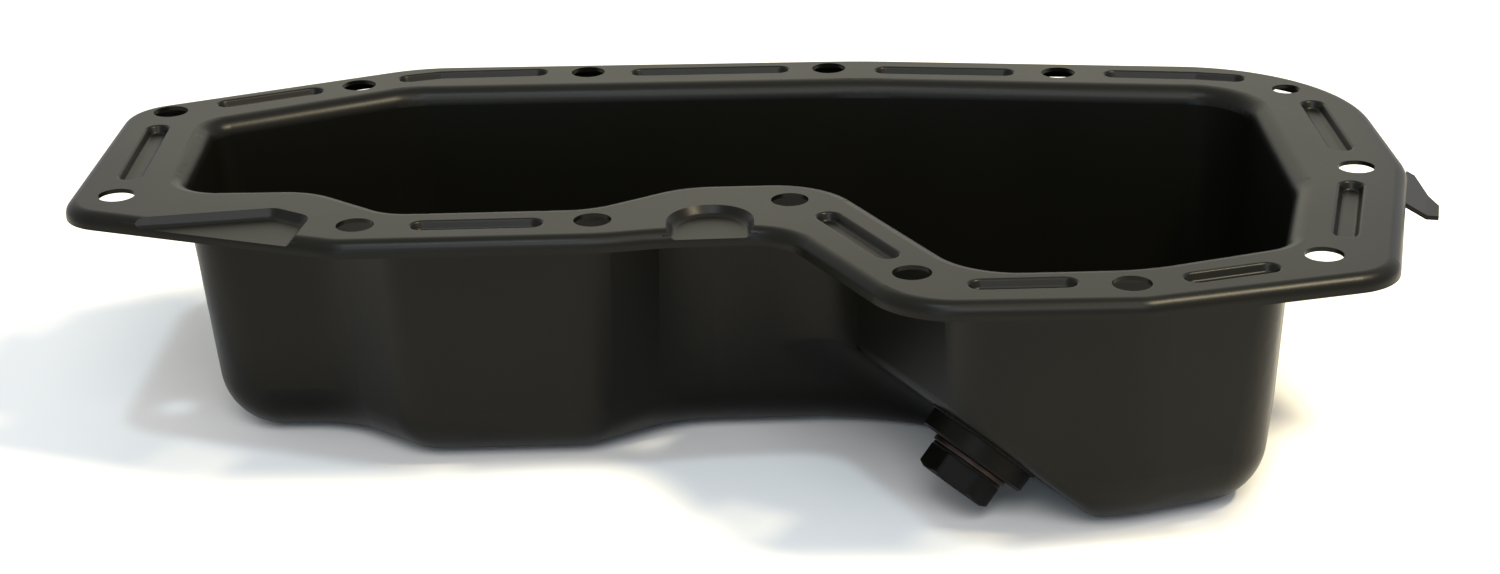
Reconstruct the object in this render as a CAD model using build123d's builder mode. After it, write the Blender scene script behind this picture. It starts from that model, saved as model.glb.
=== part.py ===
from build123d import *
import os
from math import cos, hypot, radians, sin, tan

# An engine oil pan pressed from one steel sheet, with its drain nut, sealing washer and drain plug.
# Millimetres. Z is up, the pan's floor lies on z = 0 and the origin is under the middle of its outline.

# Sheet and overall height
sheet = 1.2
pan_height = 78.0
draft_angle = 3.5
floor_radius = 18.0

# Flange edge: the lip rolls down all round
lip_drop = 4.5
lip_radius = 3.4
mouth_radius = 5.0

# Outline of the flange, corner by corner: x, y, radius
back_y = 101.35
front_y = -101.2
left_x = -184.6
right_x = 178.8
flange_corners = [
    (-181.7, 66.5, 16),
    (left_x, -19.8, 14),
    (-107.5, -49.2, 14),
    (-38.0, -49.2, 60),
    (-22.0, -46.5, 60),
    (8.8, -45.8, 16),
    (36.5, -100.0, 24),
    (96.0, front_y, 10),
    (159.8, -86.0, 16),
    (right_x, -9.3, 40),
    (176.8, 78.8, 54),
    (35.0, 98.1, 150),
    (-99.5, back_y, 45),
]

# Outline of the mouth, where the flange's top starts to roll down into the walls
bay_y = -30.0
middle_y = -14.6
mouth_left_x = -159.5
mouth_right_x = 151.0
left_mouth_corners = [
    (-101.0, 81.5, 28),
    (mouth_left_x, 54.0, 12),
    (mouth_left_x, -9.8, 16),
    (-119.0, -10.9, 18),
    (-96.5, bay_y, 18),
    (-41.0, bay_y, 25),
    (-16.5, middle_y, 22),
]
sump_mouth_corners = [
    (18.5, middle_y, 20),
    (52.2, -81.9, 26),
    (98.0, -82.0, 60),
    (139.5, -68.0, 14),
    (mouth_right_x, -22.0, 40),
]
right_mouth_corners = [
    (mouth_right_x, 62.5, 24),
    (35.0, 79.0, 150),
]

# Bolt holes along the flange, and the smaller locating hole
bolt_hole = 10.0
locating_hole = 8.2
bolt_places = [
    (-170.8, -8.7),
    (-169.0, 62.2),
    (-116.1, 83.1),
    (-47.5, 90.7),
    (25.4, 88.9),
    (93.8, 79.1),
    (164.7, -9.7),
    (143.4, -73.0),
    (93.3, -89.2),
    (40.2, -78.7),
    (11.1, -24.7),
    (-40.8, -36.4),
    (-103.0, -36.0),
]
locating_place = (158.3, 58.4)

# Stiffening beads pressed into the flange between the holes
bead_width = 6.6
bead_depth = 2.2
bead_slope = 28.0
bead_blend = 0.9
bead_routes = [
    [(-170.0, 46.6), (-170.0, 6.9)],
    [(-153.0, 68.6), (-129.6, 78.4)],
    [(-101.4, 88.6), (-92.0, 91.2), (-63.2, 91.6)],
    [(-31.0, 89.4), (10.0, 88.9)],
    [(42.6, 85.6), (77.4, 80.8)],
    [(110.6, 76.5), (134.0, 72.9), (144.8, 69.8)],
    [(163.2, 43.8), (163.8, 6.8)],
    [(160.4, -24.0), (151.8, -58.4)],
    [(109.6, -86.2), (127.8, -81.0)],
    [(56.6, -87.4), (77.0, -87.4)],
    [(21.0, -38.0), (34.6, -65.6)],
    [(-85.2, -37.4), (-57.0, -37.4)],
]

# Two recesses that run out through the lip
recess_depth = 2.4
recess_slope = 38.0
recess_blend = 1.6
round_recess_place = (-10.0, -38.6)
round_recess_radius = 11.5
corner_recess = [(-176.0, -28.5), (-126.0, -21.4), (-115.5, -28.5), (-119.0, -52.0), (-150.0, -52.0)]
corner_recess_radius = 5.0

# Ear on the right edge: it slopes down from the lip and its end is bent level
ear_y = -29.0
ear_width = 25.0
ear_slope_run = 5.6
ear_slope_drop = 3.4
ear_tip_run = 3.1
ear_tip_width = 8.0

# The sump's block reaches back into the long bay and left past the middle corner
sump_overlap = 44.0
sump_lead = 26.0

# Sloped facet of the sump and the drain on it
facet_radius = 6.0
drain_x = 60.7
drain_y = -54.4
drain_z = 20.4
drain_tilt = 42.6
drain_heading = 26.9

# Drain nut, plug and washer: an M14 x 1.5 plug with a 19 mm hexagon
nut_diameter = 31.0
nut_height = 6.0
nut_edge = 0.6
thread_diameter = 14.0
thread_clearance = 0.1
sheet_hole_clearance = 1.0
washer_diameter = 22.0
washer_thickness = 1.5
washer_clearance = 0.15
collar_diameter = 21.0
collar_height = 1.0
hexagon_width = 19.0
hexagon_height = 6.5
hexagon_chamfer_angle = 30.0
hexagon_end_share = 0.96
shank_length = 13.0
shank_chamfer = 1.2

# Values that follow from the sizes above
flange_under = pan_height - sheet
mouth_blend = mouth_radius - sheet
draft = tan(radians(draft_angle))
main_mouth = left_mouth_corners + [(mouth_right_x, middle_y, 24)] + right_mouth_corners
sump_back_y = middle_y + sump_overlap
sump_left_x = sump_mouth_corners[0][0] - sump_lead
sump_mouth = (
    [(sump_left_x, sump_back_y, 0), (sump_left_x, middle_y, 0)]
    + sump_mouth_corners
    + [(mouth_right_x, sump_back_y, 0)]
)
slope = radians(drain_tilt)
heading = radians(drain_heading)
drain_direction = (-sin(slope) * cos(heading), -sin(slope) * sin(heading), -cos(slope))
drain_seat = Plane(origin=(drain_x, drain_y, drain_z), z_dir=drain_direction)


def inset_corners(corners, distance, least_radius):
    """Move each side of a counter-clockwise outline inwards and keep its corners rounded."""
    moved = []
    count = len(corners)
    for index in range(count):
        x, y, radius = corners[index]
        before = corners[index - 1]
        after = corners[(index + 1) % count]
        length_in = hypot(x - before[0], y - before[1])
        length_out = hypot(after[0] - x, after[1] - y)
        in_x = (x - before[0]) / length_in
        in_y = (y - before[1]) / length_in
        out_x = (after[0] - x) / length_out
        out_y = (after[1] - y) / length_out
        turn = in_x * out_y - in_y * out_x
        share = distance / (1 + in_x * out_x + in_y * out_y)
        new_x = x - (in_y + out_y) * share
        new_y = y + (in_x + out_x) * share
        if radius and turn > 0:
            radius = max(radius - distance, least_radius)
        elif radius:
            radius = radius + distance
        moved.append((new_x, new_y, radius))
    return moved


def outline_face(corners):
    """A closed outline with its corners rounded."""
    with BuildSketch() as outline:
        with BuildLine():
            Polyline(*[(x, y) for x, y, radius in corners], close=True)
        make_face()
        for x, y, radius in corners:
            if radius:
                fillet(outline.vertices().sort_by_distance((x, y, 0))[0], radius)
    return outline.sketch


def drafted_block(corners, wall_inset, floor_z):
    """A block whose walls lean in by the draft from the flange's plane down to its floor."""
    lean = (pan_height - floor_z) * draft
    roomy = (floor_radius - floor_z) * 1.1
    top_corners = inset_corners(corners, wall_inset, mouth_radius)
    floor_corners = inset_corners(corners, wall_inset + lean, roomy)
    with BuildPart() as block:
        with BuildSketch(Plane.XY.offset(floor_z)):
            add(outline_face(floor_corners))
        with BuildSketch(Plane.XY.offset(pan_height)):
            add(outline_face(top_corners))
        loft(ruled=True)
    return block.part


def long_basin(wall_inset, floor_z):
    """The bay along the whole pan, with its floor edges rounded."""
    with BuildPart() as basin:
        add(drafted_block(main_mouth, wall_inset, floor_z))
        fillet(basin.faces().sort_by(Axis.Z)[0].edges(), floor_radius - floor_z)
    return basin.part


def stands_out(edge):
    """Whether an edge of the sump's block lies outside the long bay."""
    middle = edge.center()
    return middle.Y < middle_y + sump_overlap / 2 and middle.X > sump_left_x + sump_lead / 2


def sump_basin(wall_inset, floor_z, facet_blend):
    """The sump's front, which stands out from the long bay and is cut by the sloped facet."""
    with BuildPart() as basin:
        add(drafted_block(sump_mouth, wall_inset, floor_z))
        floor_edges = basin.edges().group_by(Axis.Z)[0]
        fillet(floor_edges.filter_by(stands_out), floor_radius - floor_z)
        split(bisect_by=drain_seat.offset(-floor_z), keep=Keep.BOTTOM)
        facet = basin.faces().sort_by(Axis(drain_seat.origin, drain_seat.z_dir))[-1]
        fillet(facet.edges().filter_by(stands_out), facet_blend)
    return basin.part


def bead_solid(width):
    """All the beads as sunk slots, measured down from the plane they start in."""
    with BuildPart() as beads:
        for route in bead_routes:
            with BuildSketch() as bead:
                for start, end in zip(route, route[1:]):
                    run = Line(start, end, mode=Mode.PRIVATE)
                    with Locations(run @ 0.5):
                        SlotCenterToCenter(run.length, width, rotation=run.tangent_angle_at(0))
            extrude(bead.sketch, amount=-bead_depth, taper=bead_slope)
        fillet(beads.edges().group_by(Axis.Z)[0], bead_blend)
    return beads.part


def recess_solid(growth):
    """Both recesses as sunk shapes that run out past the lip."""
    with BuildPart() as recesses:
        with BuildSketch() as round_recess:
            with Locations(round_recess_place):
                Circle(round_recess_radius + growth)
                Rectangle(2 * (round_recess_radius + growth), 40, align=(Align.CENTER, Align.MAX))
        extrude(round_recess.sketch, amount=-recess_depth, taper=recess_slope)
        with BuildSketch() as three_sided:
            with BuildLine():
                Polyline(*corner_recess, close=True)
            make_face()
            fillet(three_sided.vertices(), corner_recess_radius)
            if growth:
                offset(amount=growth)
        extrude(three_sided.sketch, amount=-recess_depth, taper=recess_slope)
        fillet(recesses.edges().group_by(Axis.Z)[0], recess_blend)
    return recesses.part


with BuildPart() as lip_hollow:
    with BuildSketch(Plane.XY.offset(pan_height - 2 * lip_drop)):
        add(outline_face(inset_corners(flange_corners, sheet, mouth_radius)))
    extrude(amount=2 * lip_drop - sheet)
    fillet(lip_hollow.faces().sort_by(Axis.Z)[-1].edges(), lip_radius - sheet)

with BuildPart() as recess_floors:
    with Locations((0, 0, flange_under)):
        add(recess_solid(sheet * cos(radians(recess_slope))))
    with BuildSketch(Plane.XY.offset(pan_height - lip_drop)):
        add(outline_face(inset_corners(flange_corners, sheet / 2, mouth_radius)))
    extrude(amount=lip_drop, mode=Mode.INTERSECT)

# The ear's own plane stands on the right lip, square to its edge, and looks along it
lip_front = Vector(*flange_corners[8][:2])
lip_back = Vector(*flange_corners[9][:2])
lip_run = (lip_back - lip_front).normalized()
ear_share = (ear_y - lip_front.Y) / lip_run.Y
ear_root = lip_front + lip_run * ear_share + Vector(0, 0, pan_height - lip_drop + sheet / 2)
ear_out = lip_run.cross(Vector(0, 0, 1))
ear_plane = Plane(origin=ear_root, x_dir=ear_out, z_dir=-lip_run)
ear_top = Plane(origin=ear_root, x_dir=ear_out, z_dir=(0, 0, 1))
ear_reach = ear_slope_run + ear_tip_run

with BuildPart() as ear:
    with BuildSketch(ear_plane):
        with BuildLine() as fold:
            Polyline((-sheet / 2, 0), (ear_slope_run, -ear_slope_drop), (ear_reach, -ear_slope_drop))
        trace(line_width=sheet)
    extrude(amount=-ear_width)
    with BuildSketch(ear_top.offset(-2 * ear_slope_drop)) as ear_outline:
        with BuildLine():
            Polyline(
                (-sheet, 0),
                (ear_reach, 0),
                (ear_reach, ear_tip_width),
                (ear_slope_run / 3, ear_width),
                (-sheet, ear_width),
                close=True,
            )
        make_face()
    extrude(amount=4 * ear_slope_drop, mode=Mode.INTERSECT)

with BuildPart() as oil_pan:
    with BuildSketch(Plane.XY.offset(pan_height - lip_drop)):
        add(outline_face(flange_corners))
    extrude(amount=lip_drop)
    fillet(oil_pan.faces().sort_by(Axis.Z)[-1].edges(), lip_radius)
    add(lip_hollow.part, mode=Mode.SUBTRACT)
    with Locations((0, 0, flange_under)):
        add(bead_solid(bead_width + 2 * sheet * cos(radians(bead_slope))))
    with Locations((0, 0, pan_height)):
        add(bead_solid(bead_width), mode=Mode.SUBTRACT)
    fillet(oil_pan.faces().sort_by(Axis.Z)[-1].inner_wires().edges(), bead_blend)
    add(recess_floors.part)
    with Locations((0, 0, pan_height)):
        add(recess_solid(0), mode=Mode.SUBTRACT)
    add(long_basin(mouth_blend, 0))
    add(sump_basin(mouth_blend, 0, facet_radius))
    with BuildPart(mode=Mode.PRIVATE) as hollow:
        add(long_basin(mouth_radius, sheet))
        add(sump_basin(mouth_radius, sheet, facet_radius - sheet))
    add(hollow.part, mode=Mode.SUBTRACT)
    level_faces = oil_pan.faces().filter_by(Plane.XY)
    under_face = level_faces.filter_by_position(Axis.Z, flange_under - 0.01, flange_under + 0.01)
    under_mouth = under_face.sort_by(SortBy.AREA)[-1].inner_wires().sort_by(SortBy.LENGTH)[-1]
    fillet(under_mouth.edges(), mouth_blend)
    mouth = oil_pan.faces().sort_by(Axis.Z)[-1].inner_wires().sort_by(SortBy.LENGTH)[-1]
    fillet(mouth.edges(), mouth_radius)
    with BuildSketch(Plane.XY.offset(pan_height)):
        with Locations(bolt_places):
            Circle(bolt_hole / 2)
        with Locations(locating_place):
            Circle(locating_hole / 2)
    extrude(amount=-2 * sheet, mode=Mode.SUBTRACT)
    add(ear.part)
    with BuildSketch(drain_seat.offset(-3 * sheet)):
        Circle(thread_diameter / 2 + sheet_hole_clearance)
    extrude(amount=6 * sheet, mode=Mode.SUBTRACT)
oil_pan.part.label = "oil_pan"

with BuildPart() as drain_nut:
    with BuildSketch(drain_seat):
        Circle(nut_diameter / 2)
        Circle(thread_diameter / 2 + thread_clearance, mode=Mode.SUBTRACT)
    extrude(amount=nut_height)
    chamfer(drain_nut.edges().filter_by(GeomType.CIRCLE).sort_by(SortBy.RADIUS)[-2:], nut_edge)
drain_nut.part.label = "drain_nut"

nut_face = drain_seat.offset(nut_height)
with BuildPart() as sealing_washer:
    with BuildSketch(nut_face):
        Circle(washer_diameter / 2)
        Circle(thread_diameter / 2 + washer_clearance, mode=Mode.SUBTRACT)
    extrude(amount=washer_thickness)
sealing_washer.part.label = "sealing_washer"

collar_seat = nut_face.offset(washer_thickness)
with BuildPart() as hexagon:
    with BuildSketch(collar_seat.offset(collar_height)) as hexagon_end:
        RegularPolygon(hexagon_width / 2, 6, major_radius=False)
    extrude(amount=hexagon_height)
    end_radius = hexagon_width / 2 * hexagon_end_share
    cone_spread = hexagon_height / tan(radians(hexagon_chamfer_angle))
    with Locations(collar_seat.offset(collar_height)):
        Cone(
            end_radius + cone_spread,
            end_radius,
            hexagon_height,
            align=(Align.CENTER, Align.CENTER, Align.MIN),
            mode=Mode.INTERSECT,
        )

with BuildPart() as drain_plug:
    with BuildSketch(collar_seat):
        Circle(thread_diameter / 2)
    extrude(amount=-shank_length)
    chamfer(drain_plug.edges().filter_by(GeomType.CIRCLE), shank_chamfer)
    with BuildSketch(collar_seat):
        Circle(collar_diameter / 2)
    extrude(amount=collar_height)
    add(hexagon.part)
drain_plug.part.label = "drain_plug"

os.makedirs("parts", exist_ok=True)
export_step(oil_pan.part, "parts/oil_pan.step")
export_step(drain_nut.part, "parts/drain_nut.step")
export_step(sealing_washer.part, "parts/sealing_washer.step")
export_step(drain_plug.part, "parts/drain_plug.step")
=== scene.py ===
from math import cos, pi, radians, sin, tan

import bmesh
import bpy
from mathutils import Matrix, Vector


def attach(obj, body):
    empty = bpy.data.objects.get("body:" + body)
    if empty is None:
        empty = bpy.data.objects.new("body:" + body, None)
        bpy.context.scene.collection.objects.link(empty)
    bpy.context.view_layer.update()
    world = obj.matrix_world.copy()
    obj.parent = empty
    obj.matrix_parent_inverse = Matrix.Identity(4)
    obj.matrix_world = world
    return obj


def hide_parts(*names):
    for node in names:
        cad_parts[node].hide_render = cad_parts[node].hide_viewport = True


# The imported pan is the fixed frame: its nodes are in metres, with the floor's underside on z = 0.
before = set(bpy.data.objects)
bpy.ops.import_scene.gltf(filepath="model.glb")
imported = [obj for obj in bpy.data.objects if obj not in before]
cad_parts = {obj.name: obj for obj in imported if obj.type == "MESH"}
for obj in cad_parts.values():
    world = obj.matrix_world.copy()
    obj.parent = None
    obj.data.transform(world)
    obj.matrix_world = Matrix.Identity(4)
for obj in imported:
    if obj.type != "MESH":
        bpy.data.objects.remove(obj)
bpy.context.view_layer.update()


# Camera. It stands in front of the pan and looks down on it at the photograph's angle, with the
# same slight roll. The places were worked out from the flange's equal bolt holes.

photo_width = 1500
focal_pixels = 2806.4
camera_place = Vector((0.0, -0.72325, 0.33704))
camera_pitch = 0.38592
camera_roll = -0.02397

ahead = Vector((0, cos(camera_pitch), -sin(camera_pitch)))
level_right = Vector((1, 0, 0))
level_up = level_right.cross(ahead)
turned_right = cos(camera_roll) * level_right + sin(camera_roll) * level_up
turned_up = cos(camera_roll) * level_up - sin(camera_roll) * level_right
camera_data = bpy.data.cameras.new("camera")
camera_data.sensor_width = 36
camera_data.lens = focal_pixels / photo_width * camera_data.sensor_width
camera_data.clip_start = 0.01
camera = bpy.data.objects.new("camera", camera_data)
bpy.context.scene.collection.objects.link(camera)
axes = Matrix((turned_right, turned_up, -ahead)).transposed()
camera.matrix_world = Matrix.Translation(camera_place) @ axes.to_4x4()
bpy.context.scene.camera = camera
bpy.context.scene.view_settings.view_transform = "Standard"


# Oil pan. One steel sheet, pressed and trimmed, then dipped in a satin black coating that covers
# every face. The coating is smooth, with a faint orange peel and a slightly uneven gloss.


class Wire:
    """A socket of a material's nodes, which can stand in an expression as a number does."""

    def __init__(self, tree, socket=None):
        self.tree = tree
        self.socket = socket

    def node(self, kind, inputs, output=0, stops=(), **settings):
        """Add a node: its settings first, then its inputs as values or wires."""
        made = self.tree.nodes.new(kind)
        for name, value in settings.items():
            setattr(made, name, value)
        for index, (place, colour) in enumerate(stops):
            points = made.color_ramp.elements
            point = points[index] if index < len(points) else points.new(place)
            point.position = place
            point.color = (*colour, 1)
        for name, value in inputs.items():
            if isinstance(value, Wire):
                self.tree.links.new(value.socket, made.inputs[name])
            else:
                made.inputs[name].default_value = value
        return Wire(self.tree, made.outputs[output]) if made.outputs else None

    def math(self, operation, first, second):
        return self.node("ShaderNodeMath", {0: first, 1: second}, operation=operation)

    def __add__(self, other):
        return self.math("ADD", self, other)

    def __radd__(self, other):
        return self.math("ADD", other, self)

    def __sub__(self, other):
        return self.math("SUBTRACT", self, other)

    def __rsub__(self, other):
        return self.math("SUBTRACT", other, self)

    def __mul__(self, other):
        return self.math("MULTIPLY", self, other)

    def __rmul__(self, other):
        return self.math("MULTIPLY", other, self)


def new_material(name):
    """A material with no nodes yet but its output, and a wire to add the first ones from."""
    material = bpy.data.materials.new(name)
    material.use_nodes = True
    tree = material.node_tree
    tree.nodes.clear()
    return material, Wire(tree)


def dress(piece, material):
    """Give a piece one material on all its faces."""
    piece.data.materials.clear()
    piece.data.materials.append(material)


def coating(name, colour, gloss_roughness, specular):
    """Dipped satin coating: faint orange peel, and gloss that drifts a little over the sheet."""
    material, wire = new_material(name)
    place = wire.node("ShaderNodeTexCoord", {}, output="Object")
    drift = wire.node("ShaderNodeTexNoise", {"Vector": place, "Scale": 16.0, "Detail": 3.0})
    peel = wire.node("ShaderNodeTexNoise", {"Vector": place, "Scale": 700.0, "Detail": 2.0})
    specks = wire.node("ShaderNodeTexVoronoi", {"Vector": place, "Scale": 420.0})
    speck = wire.node(
        "ShaderNodeValToRGB", {"Fac": specks}, stops=((0.05, (1.0, 1.0, 1.0)), (0.12, (0.0, 0.0, 0.0)))
    )
    lighter = [1.5 * part for part in colour]
    shade = wire.node(
        "ShaderNodeMix",
        {0: drift, 6: (*colour, 1), 7: (*lighter, 1)},
        output=2,
        data_type="RGBA",
    )
    skin = peel + 0.35 * speck
    bump = wire.node("ShaderNodeBump", {"Height": skin, "Strength": 0.07, "Distance": 0.0002})
    shader = wire.node(
        "ShaderNodeBsdfPrincipled",
        {
            "Base Color": shade,
            "Roughness": gloss_roughness + 0.10 * (drift - 0.5),
            "Specular IOR Level": specular,
            "Normal": bump,
        },
    )
    wire.node("ShaderNodeOutputMaterial", {"Surface": shader})
    return material


black_coating = coating(
    "satin_black_coating", colour=(0.0020, 0.0020, 0.0013), gloss_roughness=0.35, specular=0.125
)
dress(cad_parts["oil_pan"], black_coating)


# Cove of the pan's front wall. The press leaves a hollow curve where the front wall turns into the
# sloped facet of the sump. It is part of the same sheet, with the same coating, and its foot rounds
# into the floor, wide at the wall and narrow at the facet.

draft = radians(3.5)
pan_height = 0.078
wall_top_y = -0.0108
drain_place = Vector((0.0607, -0.0544, 0.0204))
drain_tilt = radians(42.6)
drain_heading = radians(26.9)
cove_radius = 0.020
floor_radius = 0.018
facet_edge_radius = 0.006
inner_corner_centre = Vector((0.00615, -0.0346))
inner_corner_radius = 0.0238
cap_height = 0.007
cap_rows = 16
proud = 0.00002
wall_reach = 0.016
wall_columns = 8
cove_columns = 64
cove_rows = 24
round_rows = 20
search_length = 0.12
search_steps = 40


def new_piece(name, bm, material, body):
    """Turn finished mesh code into a piece with smooth shading that rides on a body."""
    mesh = bpy.data.meshes.new(name)
    bm.normal_update()
    bm.to_mesh(mesh)
    bm.free()
    mesh.shade_smooth()
    piece = bpy.data.objects.new(name, mesh)
    bpy.context.scene.collection.objects.link(piece)
    dress(piece, material)
    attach(piece, body)
    return piece


wall_out = Vector((0, -cos(draft), -sin(draft)))
drain_out = Vector(
    (
        -sin(drain_tilt) * cos(drain_heading),
        -sin(drain_tilt) * sin(drain_heading),
        -cos(drain_tilt),
    )
)
generator_down = wall_out.cross(drain_out).normalized()
wall_foot = wall_out.dot(Vector((0, wall_top_y, pan_height)))
facet_foot = drain_out.dot(drain_place)
cove_axis = Matrix((wall_out, drain_out, generator_down)).inverted() @ Vector(
    (wall_foot + cove_radius, facet_foot + cove_radius, 0)
)


def in_the_air(point):
    """Whether a point lies in front of the sump's inner corner, on the open side."""
    from_centre = Vector((point.x, point.y)) - inner_corner_centre
    grown = inner_corner_radius + (pan_height - point.z) * tan(draft)
    return from_centre.length < grown or point.x < inner_corner_centre.x


def corner_point(point, height):
    """The point of the sump's inner corner at a height, straight above or below another one."""
    outward = (Vector((point.x, point.y)) - inner_corner_centre).normalized()
    radius = inner_corner_radius + (pan_height - height) * tan(draft) - proud
    place = inner_corner_centre + outward * radius
    return Vector((place.x, place.y, height))


def cove_column(share):
    """The points down one line of the cove, from the sump's inner corner to the pan's floor."""
    out = wall_out.slerp(drain_out, share)
    edge_radius = floor_radius + (facet_edge_radius - floor_radius) * share
    surface = cove_axis - cove_radius * out
    ball = cove_axis - (cove_radius + edge_radius) * out
    end = (edge_radius - ball.z) / generator_down.z
    start = end
    beyond = end - search_length
    for _ in range(search_steps):
        middle = (start + beyond) / 2
        if in_the_air(surface + middle * generator_down):
            beyond = middle
        else:
            start = middle
    line = [
        surface + (start + (end - start) * row / cove_rows) * generator_down for row in range(cove_rows)
    ]
    across = (line[0].x - drain_place.x) * drain_out.x + (line[0].y - drain_place.y) * drain_out.y
    facet_height = drain_place.z - across / drain_out.z
    rise = max(facet_height - line[0].z, 0) + cap_height
    cap = [corner_point(line[0], line[0].z + rise * row / cap_rows) for row in range(cap_rows, 0, -1)]
    centre = ball + end * generator_down
    turned = [out.slerp(Vector((0, 0, -1)), row / round_rows) for row in range(round_rows + 1)]
    return cap + line + [centre + edge_radius * direction for direction in turned]


bm = bmesh.new()
first_line = cove_column(0)
columns = []
for column in range(wall_columns, 0, -1):
    shift = Vector((-wall_reach * column / wall_columns, 0, 0)) + wall_out * proud
    columns.append([bm.verts.new(point + shift) for point in first_line])
for column in range(cove_columns + 1):
    columns.append([bm.verts.new(point) for point in cove_column(column / cove_columns)])
for left, right in zip(columns, columns[1:]):
    for row in range(len(left) - 1):
        bm.faces.new((left[row], left[row + 1], right[row + 1], right[row]))
new_piece("pan_cove", bm, black_coating, "pan")


# Drain nut. A round steel nut welded under the sloped facet before the pan is dipped, so the coating
# covers it too. Its coating is the pan's coat drawn a little darker, with a weaker reflection, as
# painted shade for its place under the facet, and it is a little rougher. The weld runs round its foot
# as a low uneven bead.

nut_radius = 0.0155
nut_height = 0.006
weld_size = 0.0008
fine_ripples = 46
fine_ripple_share = 0.14
slow_ripples = 5
slow_ripple_share = 0.18
slow_ripple_start = 1
weld_steps = 360
weld_sides = 12

# The pan's coat again, darker and weaker in reflection: painted shade for the nut under the facet.
nut_coating_with_painted_shade = coating(
    "black_coating_with_painted_shade", colour=(0.0018, 0.0018, 0.0014), gloss_roughness=0.42, specular=0.07
)
dress(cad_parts["drain_nut"], nut_coating_with_painted_shade)

seat_right = Vector((0, 0, 1)).cross(drain_out).normalized()
seat_up = drain_out.cross(seat_right)


def on_drain(radius, angle, height):
    """A point about the drain's axis, measured out from the facet."""
    across = seat_right * (radius * cos(angle)) + seat_up * (radius * sin(angle))
    return drain_place + across + drain_out * height


bm = bmesh.new()
rings = []
for step in range(weld_steps):
    angle = 2 * pi * step / weld_steps
    fine_ripple = fine_ripple_share * sin(fine_ripples * angle)
    slow_ripple = slow_ripple_share * sin(slow_ripples * angle + slow_ripple_start)
    size = weld_size * (1 + fine_ripple + slow_ripple)
    ring = []
    for side in range(weld_sides):
        turn = 2 * pi * side / weld_sides
        ring.append(bm.verts.new(on_drain(nut_radius + size * cos(turn), angle, size * sin(turn))))
    rings.append(ring)
for here, after in zip(rings, rings[1:] + rings[:1]):
    for side in range(weld_sides):
        other = (side + 1) % weld_sides
        bm.faces.new((here[side], after[side], after[other], here[other]))
new_piece("nut_weld", bm, nut_coating_with_painted_shade, "pan")


# Sealing washer. A flat copper ring that has gone dark brown. It is punched from strip, so its
# edges are rolled over a little, and the plug's collar presses it on the nut.

washer_inner = 0.00715
washer_outer = 0.011
washer_thickness = 0.0015
washer_edge = 0.00035
washer_top = nut_height + washer_thickness
edge_steps = 4
ring_steps = 160


def lathed(bm, profile, steps):
    """Turn a closed profile of radius and height about the drain's axis."""
    made = []
    for step in range(steps):
        angle = 2 * pi * step / steps
        made.append([bm.verts.new(on_drain(radius, angle, height)) for radius, height in profile])
    for here, after in zip(made, made[1:] + made[:1]):
        for index in range(len(profile)):
            other = (index + 1) % len(profile)
            bm.faces.new((here[index], here[other], after[other], after[index]))


def rounded_ring(inner, outer, bottom, top, edge):
    """The closed profile of a flat ring with four rounded edges."""
    profile = []
    corners = (
        (inner + edge, bottom + edge, pi),
        (outer - edge, bottom + edge, 1.5 * pi),
        (outer - edge, top - edge, 0),
        (inner + edge, top - edge, 0.5 * pi),
    )
    for radius, height, first in corners:
        for part in range(edge_steps + 1):
            turn = first + 0.5 * pi * part / edge_steps
            profile.append((radius + edge * cos(turn), height + edge * sin(turn)))
    return profile


darkened_copper, wire = new_material("darkened_copper")
place = wire.node("ShaderNodeTexCoord", {}, output="Object")
stain = wire.node("ShaderNodeTexNoise", {"Vector": place, "Scale": 260.0, "Detail": 4.0})
shade = wire.node(
    "ShaderNodeValToRGB",
    {"Fac": stain},
    stops=((0.35, (0.008, 0.005, 0.004)), (0.7, (0.026, 0.012, 0.009))),
)
bump = wire.node("ShaderNodeBump", {"Height": stain, "Strength": 0.12, "Distance": 0.0002})
shader = wire.node(
    "ShaderNodeBsdfPrincipled",
    {"Base Color": shade, "Roughness": 0.34 + 0.2 * stain, "Metallic": 0.6, "Normal": bump},
)
wire.node("ShaderNodeOutputMaterial", {"Surface": shader})
dress(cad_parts["sealing_washer"], darkened_copper)

bm = bmesh.new()
lathed(bm, rounded_ring(washer_inner, washer_outer, nut_height, washer_top, washer_edge), ring_steps)
washer = new_piece("copper_washer", bm, darkened_copper, "washer")
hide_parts("sealing_washer")


# Drain plug. A forged steel screw with a 19 mm hexagon, a thin collar and an M14 x 1.5 thread,
# phosphated black and oiled. It screws into the welded nut and presses the washer on it.

across_flats = 0.019
hexagon_height = 0.0065
hexagon_turn = radians(100)
flat_slices = 12
corner_wear = 0.0003
top_radius = 0.00912
top_bevel = 0.0012
bevel_rows = 6
bevel_slope = radians(30)
sharp_angle = radians(24)
collar_inner = 0.004
collar_radius = 0.0105
collar_height = 0.001
collar_edge = 0.0003
shank_length = 0.013
thread_radius = 0.007
thread_depth = 0.0009
thread_pitch = 0.0015
thread_steps = 72
rows_per_turn = 12
lead_in_length = 0.0012
fade_length = 0.0015

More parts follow.
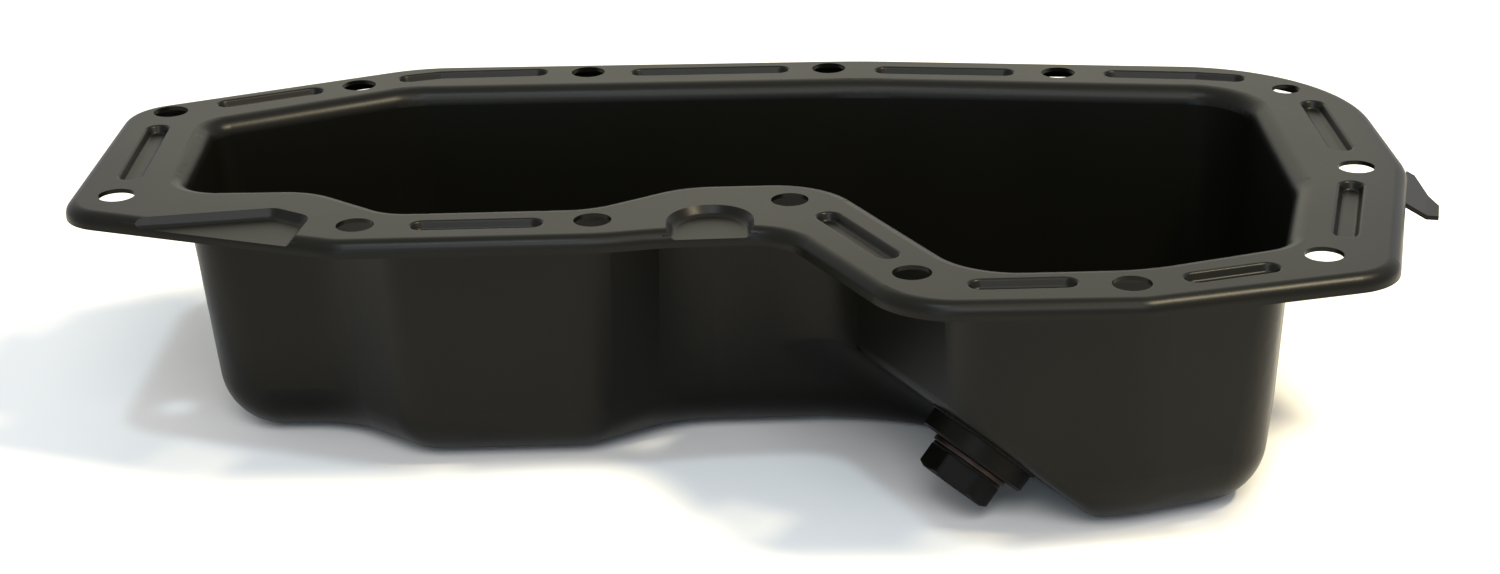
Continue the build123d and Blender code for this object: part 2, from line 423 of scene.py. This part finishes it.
black_phosphate, wire = new_material("oiled_black_phosphate")
place = wire.node("ShaderNodeTexCoord", {}, output="Object")
grain = wire.node("ShaderNodeTexNoise", {"Vector": place, "Scale": 1500.0, "Detail": 2.0})
film = wire.node("ShaderNodeTexNoise", {"Vector": place, "Scale": 120.0, "Detail": 3.0})
shade = wire.node(
    "ShaderNodeMix",
    {0: film, 6: (0.0015, 0.0015, 0.0015, 1), 7: (0.0035, 0.0035, 0.0030, 1)},
    output=2,
    data_type="RGBA",
)
bump = wire.node("ShaderNodeBump", {"Height": grain, "Strength": 0.08, "Distance": 0.0001})
shader = wire.node(
    "ShaderNodeBsdfPrincipled",
    {"Base Color": shade, "Roughness": 0.34 + 0.14 * film, "Specular IOR Level": 0.06, "Normal": bump},
)
wire.node("ShaderNodeOutputMaterial", {"Surface": shader})
dress(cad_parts["drain_plug"], black_phosphate)

bm = bmesh.new()
foot = washer_top + collar_height
lathed(bm, rounded_ring(collar_inner, collar_radius, washer_top, foot, collar_edge), ring_steps)

hexagon_top = foot + hexagon_height
worn_corner = across_flats / 2 / cos(pi / 6) - corner_wear
hexagon_rings = []
levels = [foot]
for part in range(bevel_rows + 1):
    levels.append(hexagon_top - top_bevel + top_bevel * part / bevel_rows)
for level in levels:
    ring = []
    limit = top_radius + (hexagon_top - level) / tan(bevel_slope)
    for side in range(6):
        for part in range(flat_slices):
            local = -pi / 6 + pi / 3 * part / flat_slices
            flat = across_flats / 2 / cos(local)
            radius = min(flat, worn_corner, limit)
            ring.append(bm.verts.new(on_drain(radius, hexagon_turn + side * pi / 3 + local, level)))
    hexagon_rings.append(ring)
for lower, upper in zip(hexagon_rings, hexagon_rings[1:]):
    count = len(lower)
    for index in range(count):
        other = (index + 1) % count
        bm.faces.new((lower[index], lower[other], upper[other], upper[index]))
bm.faces.new(hexagon_rings[-1])
bm.faces.new(list(reversed(hexagon_rings[0])))

thread_rings = []
row_count = int(shank_length / thread_pitch * rows_per_turn)
for row in range(row_count + 1):
    depth = row / row_count * shank_length
    ring = []
    for step in range(thread_steps):
        angle = 2 * pi * step / thread_steps
        phase = (depth / thread_pitch - step / thread_steps) % 1
        groove = thread_depth * (1 - abs(2 * phase - 1))
        lead_in = max(0.0, depth - (shank_length - lead_in_length))
        fade = min(1.0, depth / fade_length)
        radius = thread_radius - groove * fade - lead_in
        ring.append(bm.verts.new(on_drain(radius, angle, washer_top - depth)))
    thread_rings.append(ring)
for upper, lower in zip(thread_rings, thread_rings[1:]):
    for step in range(thread_steps):
        other = (step + 1) % thread_steps
        bm.faces.new((upper[step], lower[step], lower[other], upper[other]))
bm.faces.new(thread_rings[0])
bm.faces.new(list(reversed(thread_rings[-1])))
bmesh.ops.recalc_face_normals(bm, faces=bm.faces)
plug = new_piece("hexagon_plug", bm, black_phosphate, "plug")
plug.data.set_sharp_from_angle(angle=sharp_angle)
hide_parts("drain_plug")


# Floor and light. A matt pale floor in a plain room, which the camera and reflections see as white.
# The main lamp is warm and high on the right, and a white one is high in front. A small cool lamp is
# high on the left, another cool one is low in front, and a faint warm one is behind the pan.

floor_size = 6.0

bm = bmesh.new()
corner = floor_size / 2
for x, y in ((-corner, -corner), (corner, -corner), (corner, corner), (-corner, corner)):
    bm.verts.new((x, y, 0))
bm.faces.new(bm.verts)
floor_mesh = bpy.data.meshes.new("floor")
bm.to_mesh(floor_mesh)
bm.free()
floor = bpy.data.objects.new("floor", floor_mesh)
bpy.context.scene.collection.objects.link(floor)
floor_material, wire = new_material("pale_floor")
matt = wire.node("ShaderNodeBsdfDiffuse", {"Color": (0.93, 0.93, 0.93, 1)})
wire.node("ShaderNodeOutputMaterial", {"Surface": matt})
dress(floor, floor_material)

world = bpy.data.worlds.new("room")
bpy.context.scene.world = world
world.use_nodes = True
world.node_tree.nodes.clear()
wire = Wire(world.node_tree)
room = wire.node("ShaderNodeBackground", {"Color": (1, 1, 1, 1), "Strength": 0.55})
white = wire.node("ShaderNodeBackground", {"Color": (1, 1, 1, 1), "Strength": 1.0})
camera_ray = wire.node("ShaderNodeLightPath", {}, output="Is Camera Ray")
glossy_ray = wire.node("ShaderNodeLightPath", {}, output="Is Glossy Ray")
clear_ray = wire.node("ShaderNodeLightPath", {}, output="Is Transmission Ray")
shown = wire.node("ShaderNodeMixShader", {0: camera_ray + glossy_ray + clear_ray, 1: room, 2: white})
wire.node("ShaderNodeOutputWorld", {"Surface": shown})


def soft_lamp(name, place, size, power, colour):
    """A square soft lamp that faces the pan."""
    data = bpy.data.lights.new(name, "AREA")
    data.size = size
    data.energy = power
    data.color = colour
    lamp = bpy.data.objects.new(name, data)
    bpy.context.scene.collection.objects.link(lamp)
    away = Vector(place)
    lamp.matrix_world = Matrix.Translation(place) @ away.to_track_quat("Z", "Y").to_matrix().to_4x4()


soft_lamp("lamp_behind", (0.0, 1.6, 0.75), 1.2, 2.2, (1.0, 0.90, 0.40))
soft_lamp("lamp_right", (0.62, -0.34, 1.12), 0.26, 24, (1.0, 0.86, 0.58))
soft_lamp("lamp_left", (-0.22, -0.50, 1.25), 0.10, 4, (0.70, 0.88, 1.0))
soft_lamp("lamp_low", (-0.5, -1.5, 0.35), 0.5, 3, (0.50, 0.78, 1.0))
soft_lamp("lamp_floor", (0.0, -1.6, 1.6), 1.0, 20, (1.0, 1.0, 1.0))
